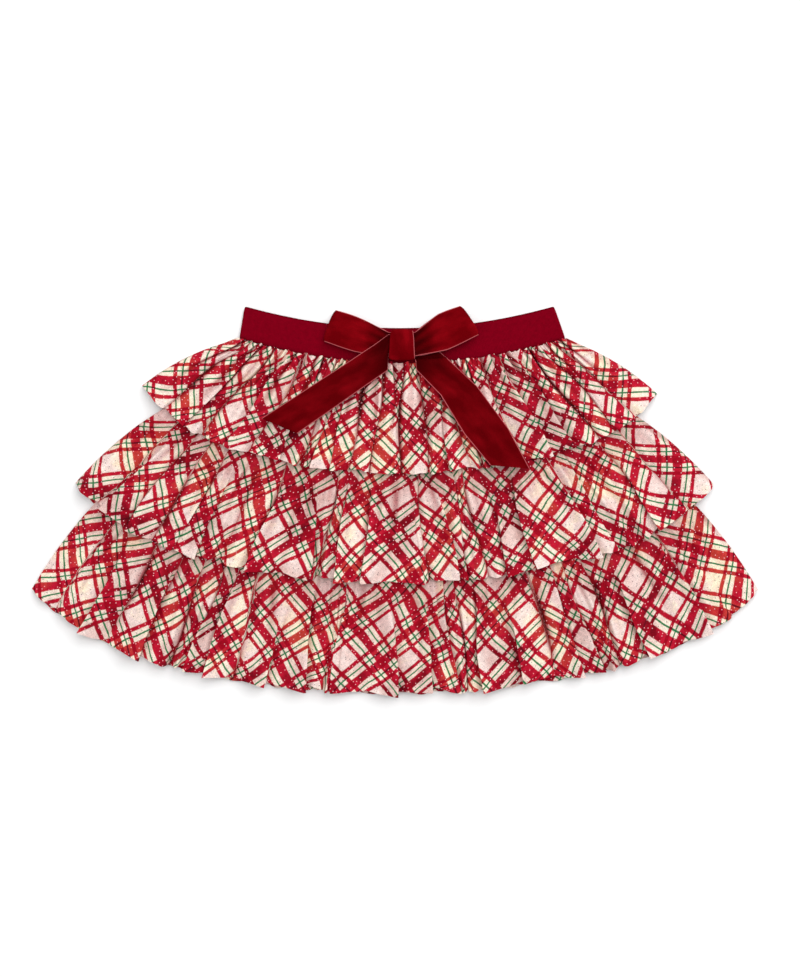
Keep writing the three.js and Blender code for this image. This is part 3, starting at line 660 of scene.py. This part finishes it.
# Each ribbon's upper and lower edge go through these points in plan, and along is their share of its
# length. neck_z is the height in the knot, low_z and high_z are those of a loop's layers.
LOOPS = {
    "bow_loop_left": {
        "neck_z": 8.25, "low_z": 4.7, "high_z": 8.8, "seed": 3,
        "along": (0.0, 0.19, 0.6, 1.0),
        "upper_x": (4.9, -3.8, -24.5, -40.5), "upper_y": (113.6, 113.8, 122.5, 129.0),
        "lower_x": (4.9, -3.8, -27.0, -48.6), "lower_y": (97.8, 97.6, 102.2, 108.2),
    },
    "bow_loop_right": {
        "neck_z": 8.25, "low_z": 8.0, "high_z": 12.2, "seed": 8,
        "along": (0.0, 0.19, 0.6, 1.0),
        "upper_x": (5.3, 13.9, 29.5, 45.4), "upper_y": (113.6, 113.8, 124.5, 131.6),
        "lower_x": (5.3, 13.9, 36.0, 58.0), "lower_y": (97.8, 97.6, 103.2, 112.6),
    },
}
# The knot's four sides in plan, its heights, and how much of the ribbon's width shows on it.
KNOT = {"left": -2.7, "right": 12.9, "bottom": 94.8, "top": 116.0, "low": 4.0, "high": 12.8, "shows": 18.0}
TAILS = {
    "bow_tail_left": {
        "neck_z": 10.3, "along": (0.0, 0.1, 0.2, 1.0),
        "upper_x": (4.9, -4.0, -13.0, -89.4), "upper_y": (112.4, 112.2, 105.6, 55.4),
        "lower_x": (4.9, -4.0, -4.5, -65.3), "lower_y": (99.0, 99.0, 88.0, 45.2),
    },
    "bow_tail_right": {
        "neck_z": 6.15, "along": (0.0, 0.1, 0.2, 0.45, 0.75, 1.0),
        "upper_x": (5.3, 14.2, 31.5, 55.8, 76.8, 91.1), "upper_y": (112.0, 110.0, 100.0, 77.2, 48.6, 21.4),
        "lower_x": (5.3, 14.2, 14.8, 31.3, 46.9, 64.6), "lower_y": (99.6, 99.6, 88.3, 71.1, 45.2, 23.8),
    },
}


def velvet_finish():
    """Short pile: dark from above and paler at a slant, by sheen, with brushed patches from a
    stretched noise that are painted paler as sheen, a fine grain as bump, and a thin satin line
    along both edges, painted pale partly as a highlight. It is darkened by the painted shade."""
    material, shader, tree, add = new_finish("velvet_ribbon")
    cut = add("ShaderNodeUVMap", uv_map="cut").outputs[0]
    part = add("ShaderNodeSeparateXYZ", {0: cut})
    # Brushed patches of the pile, painted paler as sheen.
    brushed = add("ShaderNodeMapping", {0: cut, "Scale": (0.045, 0.085, 1.0)}).outputs[0]
    patch_look = {"Vector": brushed, "Scale": 1.0, "Detail": 3.0, "Roughness": 0.5}
    lit = ranged(add, add("ShaderNodeTexNoise", patch_look).outputs[0], 0.42, 0.72)
    tone = layered(add, RIBBON["velvet"], RIBBON["bright"], lit)
    speck = add("ShaderNodeTexNoise", {"Vector": cut, "Scale": 1.6, "Detail": 2.0, "Roughness": 0.7})
    nap = ranged(add, speck.outputs[0], 0.3, 0.7, 0.8, 1.2)
    depth = add("ShaderNodeAttribute", attribute_name="shade")
    dark = maths(add, "MULTIPLY", nap, depth.outputs["Fac"])
    pile = add("ShaderNodeVectorMath", {0: tone, "Scale": dark}, operation="SCALE").outputs[0]
    # The satin line along both edges: a real satin edge, painted paler partly as its highlight.
    reach = maths(add, "ABSOLUTE", maths(add, "SUBTRACT", part.outputs[1], RIBBON["width"] / 2))
    colour = layered(add, pile, RIBBON["satin"], ranged(add, reach, *RIBBON["edge"]))
    tree.links.new(colour, shader.inputs["Base Color"])
    grain = add("ShaderNodeTexNoise", {"Vector": cut, "Scale": 2.5, "Detail": 2.0})
    bump = add("ShaderNodeBump", {"Strength": 0.4, "Distance": 0.0003, "Height": grain.outputs[0]})
    tree.links.new(bump.outputs[0], shader.inputs["Normal"])
    shader.inputs["Roughness"].default_value = 0.85
    shader.inputs["Specular IOR Level"].default_value = 0.01
    shader.inputs["Sheen Weight"].default_value = 0.03
    shader.inputs["Sheen Roughness"].default_value = 0.4
    shader.inputs["Sheen Tint"].default_value = linear(RIBBON["sheen"])
    return material


def ribbon_plan(rows, along, width):
    """The place of the ribbon in plan: the two edges follow the rows' points, and width, from 0 at
    the upper edge to 1 at the lower, mixes them."""
    upper = [np.interp(along, rows["along"], rows[key]) for key in ("upper_x", "upper_y")]
    lower = [np.interp(along, rows["along"], rows[key]) for key in ("lower_x", "lower_y")]
    return mix(upper[0], lower[0], width), mix(upper[1], lower[1], width)


def bow_loop(name, rows):
    """A ribbon out along the low layer and back along the high one: the two part smoothly beyond the
    neck and meet in a half round at the far end. The high layer has creases that run out from the
    neck and fade, a crown along its middle and a slow swell. Towards the far end the corners lie
    back and the edges bow out. The shade is dark in the neck and between the creases."""
    steps, rows_across = RIBBON["loop_grid"]
    step = np.linspace(0.0, math.pi / 2, steps)
    share = np.concatenate([np.sin(step), np.sin(step[:-1])[::-1]])[None, :]
    side = np.concatenate([np.full(steps, -1.0), np.ones(steps - 1)])[None, :]
    is_high = side > 0
    width = np.linspace(0.0, 1.0, rows_across)[:, None]
    parted = ease(0.2, 0.55, share)
    turned = np.sqrt(1 - np.clip((share - 0.9) / 0.1, 0.0, 1.0) ** 2)
    half = mix(RIBBON["wall"] / 2 + 0.05, (rows["high_z"] - rows["low_z"]) / 2, parted) * turned
    z = mix(rows["neck_z"], (rows["low_z"] + rows["high_z"]) / 2, parted) + side * half
    folds = np.sin(width * 17.0 + 3.0 * share + rows["seed"])
    crease = 0.9 * folds * np.exp(-((share - 0.3) / 0.22) ** 2) * ease(0.16, 0.3, share) * is_high
    crown = 1.5 * (1 - (2 * width - 1) ** 2) * parted * is_high * turned
    swell = 0.3 * np.sin(share * 5.0 + width * 3.0 + rows["seed"]) * parted * is_high * turned
    z = z + crease + crown + swell
    corner = RIBBON["corner"] * np.abs(2 * width - 1) ** 5 * share**6
    bowed = RIBBON["bowed"] * (2 * width - 1) * np.sin(math.pi * np.clip((share - 0.19) / 0.81, 0, 1))
    x, y = ribbon_plan(rows, share - corner, width)
    y = y - bowed
    in_neck = 0.55 * (1 - ease(0.18, 0.5, share))
    in_creases = 0.18 * (1 - folds) * np.exp(-((share - 0.35) / 0.2) ** 2)
    shade = 1 - in_neck - in_creases
    middle = np.stack([x, y, z], axis=-1)
    centre = middle[rows_across // 2]
    length = np.cumsum(np.r_[0.0, np.linalg.norm(np.diff(centre, axis=0), axis=1)])
    uv = np.stack(np.broadcast_arrays(length[None, :], RIBBON["width"] * width), axis=-1)
    shell = thin_shell(name + "_ribbon", middle, RIBBON["wall"], uv, closed=True, shade=shade)
    return shell, length[-1]


def bow_knot():
    """A loop of ribbon round the necks: a squarish ring in the plane across the knot, carried along
    the knot's width, with soft lengthwise folds that press into it. Its left edge is folded under,
    so only the right one shows its satin line."""
    steps, rows_across = RIBBON["knot_grid"]
    angle = np.linspace(0.0, 2 * math.pi, steps, endpoint=False)[None, :]
    width = np.linspace(0.0, 1.0, rows_across)[:, None]
    squareness = 2 / 3.2
    inset = RIBBON["wall"] / 2 + 1.1 * np.abs(2 * width - 1) ** 4
    folds = np.cos(width * 9.0 + 0.8 * np.cos(angle))
    fold = 0.2 * folds * (np.sin(angle) > 0.3)
    across = np.sign(np.cos(angle)) * np.abs(np.cos(angle)) ** squareness
    over = np.sign(np.sin(angle)) * np.abs(np.sin(angle)) ** squareness
    y = (KNOT["bottom"] + KNOT["top"]) / 2 + across * ((KNOT["top"] - KNOT["bottom"]) / 2 - inset)
    z = (KNOT["low"] + KNOT["high"]) / 2 + over * ((KNOT["high"] - KNOT["low"]) / 2 - inset * 0.6 + fold)
    swell = (2 * width - 1) * (0.35 * np.sin(angle) - 0.7 * np.cos(angle))
    x = mix(KNOT["left"], KNOT["right"], width) + swell
    # Painted light and shade: a little darker between the folds, and much paler on the lower side, which
    # faces away from the key lamp.
    shade = 0.93 + 0.07 * folds + 0.6 * np.maximum(0.0, -np.cos(angle)) ** 6
    middle = np.stack([x, y, z], axis=-1)[:, ::-1]
    centre = middle[(rows_across - 1) // 2]
    length = np.cumsum(np.r_[0.0, np.linalg.norm(np.diff(centre, axis=0), axis=1)])
    shown = RIBBON["width"] - KNOT["shows"] * (1 - width)
    uv = np.stack(np.broadcast_arrays(length[None, :], shown), axis=-1)
    shell = thin_shell("bow_knot_ribbon", middle, RIBBON["wall"], uv, closed=True, shade=shade[:, ::-1])
    return shell, length[-1]


def crest_height(x, y):
    """The height of the first tier's crests at a place in plan, with its gathers and their lap and
    a little room. The way down the tier is found by halving the range 24 times. Above the gathers,
    which reach twice the lap over the seam, it is the height of the waistband's front."""
    tier, folds = TIERS["tier_1"], FRONTS["tier_1"]
    near, far = np.zeros_like(x), np.ones_like(x)
    for _ in range(24):
        down = (near + far) / 2
        middle = mix(tier["seam"]["mid"], tier["hem"]["mid"], down)
        across = (x - middle) / mix(tier["seam"]["half"], tier["hem"]["half"], down)
        is_above = tier_plan(tier, across, down)[1] > y
        near, far = np.where(is_above, down, near), np.where(is_above, far, down)
    crest = np.add(folds["floor"], folds["rise"]) + folds["gathers"]
    fine = folds["fine"] * (1 - ease(0.0, GATHER["fades"], np.abs(near - folds["fine_at"])))
    lapped = GATHER["lap_rises"] * (1 - ease(0.0, GATHER["lap_fades"], near))
    seam_y = on_line(tier["seam"], (x - tier["seam"]["mid"]) / tier["seam"]["half"])[1] + 2 * folds["lap"]
    room, band_front = 0.7, 3.7
    return np.where(y > seam_y, band_front, np.interp(near, folds["down"], crest) + fine + lapped + room)


def bow_tail(name, rows):
    """A ribbon from the knot to its cut end, laid on the crests of the first tier with a long shallow
    wave. Creases run out from the knot and fade. The shade is dark by the knot and between the
    creases."""
    steps, rows_across = RIBBON["tail_grid"]
    along = np.linspace(0.0, 1.0, steps)[None, :]
    width = np.linspace(0.0, 1.0, rows_across)[:, None]
    x, y = ribbon_plan(rows, np.broadcast_to(along, (rows_across, steps)), width)
    rest = crest_height(x, y) + RIBBON["wall"] / 2 + 0.3
    smooth = (rest + np.roll(rest, 1, 1) + np.roll(rest, -1, 1)) / 3
    rest[:, 1:-1] = np.maximum(rest, smooth)[:, 1:-1]
    wave = 0.5 * ease(0.15, 0.5, along) * (1 + np.sin(along * 11.0 + width * 2.5))
    folds = np.sin(width * 12.0 + 2.0 * along)
    crease = 0.5 * folds * np.exp(-((along - 0.25) / 0.12) ** 2)
    z = np.maximum(rows["neck_z"], rest) + wave * 0.6 + np.maximum(0.0, crease)
    # Painted shade: dark by the knot and between the creases, and darker all over as the pile catches less
    # light.
    by_knot = 0.6 * (1 - ease(0.12, 0.34, along))
    in_creases = 0.1 * (1 - folds) * np.exp(-((along - 0.3) / 0.15) ** 2)
    shade = RIBBON["tail_shade"] * (1 - by_knot - in_creases)
    middle = np.stack([x, y, z], axis=-1)
    centre = middle[rows_across // 2]
    length = np.cumsum(np.r_[0.0, np.linalg.norm(np.diff(centre, axis=0), axis=1)])
    uv = np.stack(np.broadcast_arrays(length[None, :], RIBBON["width"] * width), axis=-1)
    if name.endswith("left"):
        middle, uv, shade = middle[::-1], uv[::-1], shade[::-1]
    return thin_shell(name + "_ribbon", middle, RIBBON["wall"], uv, shade=shade), length[-1]


velvet = velvet_finish()
bow_pieces = {name: bow_loop(name, rows) for name, rows in LOOPS.items()}
bow_pieces["bow_knot"] = bow_knot()
bow_pieces.update({name: bow_tail(name, rows) for name, rows in TAILS.items()})
for name, (piece, length) in bow_pieces.items():
    piece.data.materials.append(velvet)
    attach(piece, "root")
    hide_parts(name)


# The floor is a plain matt white sheet, larger than any view of the skirt needs. It belongs to the
# studio and not to the skirt.
def floor_finish():
    """Even white with a trace of mottle, fully matt."""
    material, shader, tree, add = new_finish("floor_white")
    place = add("ShaderNodeTexCoord").outputs["Object"]
    mottle = add("ShaderNodeTexNoise", {"Vector": place, "Scale": 3.0})
    tone = ranged(add, mottle.outputs[0], 0.0, 1.0, 0.9, 0.93)
    white = add("ShaderNodeCombineColor", {0: tone, 1: tone, 2: tone})
    tree.links.new(white.outputs[0], shader.inputs["Base Color"])
    shader.inputs["Roughness"].default_value = 1.0
    return material


mesh = bpy.data.meshes.new("floor")
mesh.from_pydata([(-4, -4, 0), (4, -4, 0), (4, 4, 0), (-4, 4, 0)], [], [(0, 1, 2, 3)])
floor = bpy.data.objects.new("floor", mesh)
floor.data.materials.append(floor_finish())
bpy.context.scene.collection.objects.link(floor)
